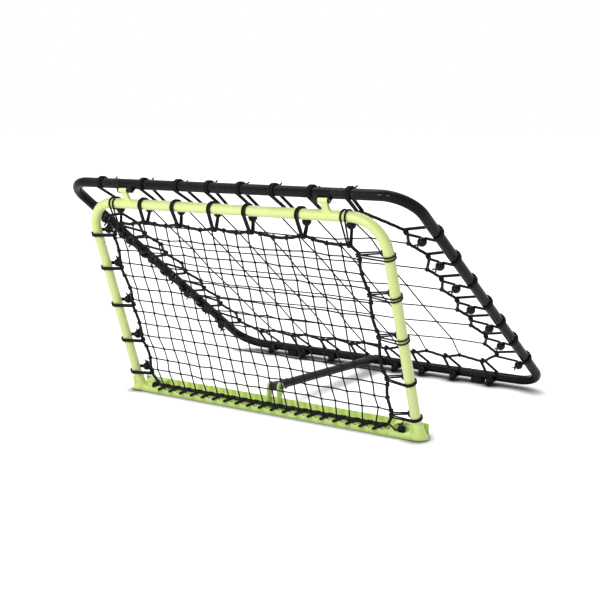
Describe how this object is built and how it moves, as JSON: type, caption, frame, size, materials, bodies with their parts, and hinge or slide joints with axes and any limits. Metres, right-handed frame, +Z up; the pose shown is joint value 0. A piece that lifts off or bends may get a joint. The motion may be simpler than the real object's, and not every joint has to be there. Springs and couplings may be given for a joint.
{
  "type": "pitch back rebounder",
  "caption": "Lawn football rebounder: a leaning front frame with a fine net and a sloping rear frame with a coarse net, hinged at the top and held apart by a strut.",
  "frame": {"origin": "middle of the footprint, on the ground", "axes": "+X along the bars, -Y towards the side of the fine front net, +Z up"},
  "size_m": [1.2506, 0.927, 0.7145],
  "materials": {
    "lime_paint": "satin lime green powder coat",
    "black_paint": "glossy black powder coat",
    "green_plastic": "moulded yellow-green plastic",
    "net_cord": "twisted black net cord",
    "elastic": "braided black elastic cord",
    "ball_plastic": "black moulded balls",
    "black_plastic": "black moulded plastic",
    "foot_rubber": "matte black rubber",
    "steel": "zinc-plated steel"
  },
  "bodies": {
    "front_frame": {"base_beam": "green_plastic", "front_leg_left": "lime_paint", "front_leg_right": "lime_paint", "front_corner_left": "lime_paint", "front_corner_right": "lime_paint", "front_frame_screws": "steel", "sleeve_screws": "steel", "hinge_lug_left": "lime_paint", "hinge_lug_right": "lime_paint", "front_net": "net_cord", "front_net_rope": "net_cord", "front_cords_top": "elastic", "front_cords_left": "elastic", "front_cords_right": "elastic", "front_balls": "ball_plastic", "base_lacing": "elastic", "lacing_balls": "ball_plastic", "lug_bolt": "steel", "lug_nut": "steel"},
    "rear_frame": {"rear_top_bar": "black_paint", "rear_bottom_bar": "black_paint", "rear_side_left": "black_paint", "rear_side_right": "black_paint", "rear_corner_top_left": "black_paint", "rear_corner_top_right": "black_paint", "rear_corner_bottom_left": "black_paint", "rear_corner_bottom_right": "black_paint", "rear_frame_screws": "steel", "hinge_ears_left": "black_paint", "hinge_ears_right": "black_paint", "hinge_pin_left": "steel", "hinge_pin_right": "steel", "rear_net": "net_cord", "rear_net_rope": "net_cord", "rear_cords_top": "elastic", "rear_cords_bottom": "elastic", "rear_cords_left": "elastic", "rear_cords_right": "elastic", "rear_balls": "ball_plastic", "rubber_foot_left": "foot_rubber", "rubber_foot_right": "foot_rubber", "strut_bracket": "black_paint", "strut_bracket_screws": "steel", "strut_pin": "steel"},
    "strut": {"strut_tube": "black_paint", "strut_jaw": "black_plastic", "strut_tongue": "black_plastic", "strut_front_screw": "steel", "strut_rear_screw": "steel"}
  },
  "joints": [
    {"name": "frame_fold", "type": "hinge", "parent": "front_frame", "child": "rear_frame", "pos_m": [0, -0.45551, 0.67598], "axis": [-1, 0, 0], "range_deg": [0, 19], "deforming": ["rear_cords_top"]},
    {"name": "strut_fold", "type": "hinge", "parent": "rear_frame", "child": "strut", "pos_m": [0, 0.41071, 0.0416], "axis": [-1, 0, 0], "range_deg": [0, 26]}
  ],
  "couplings": [
    {"joint": "strut_fold", "follows": "frame_fold", "ratio": 1.35}
  ]
}
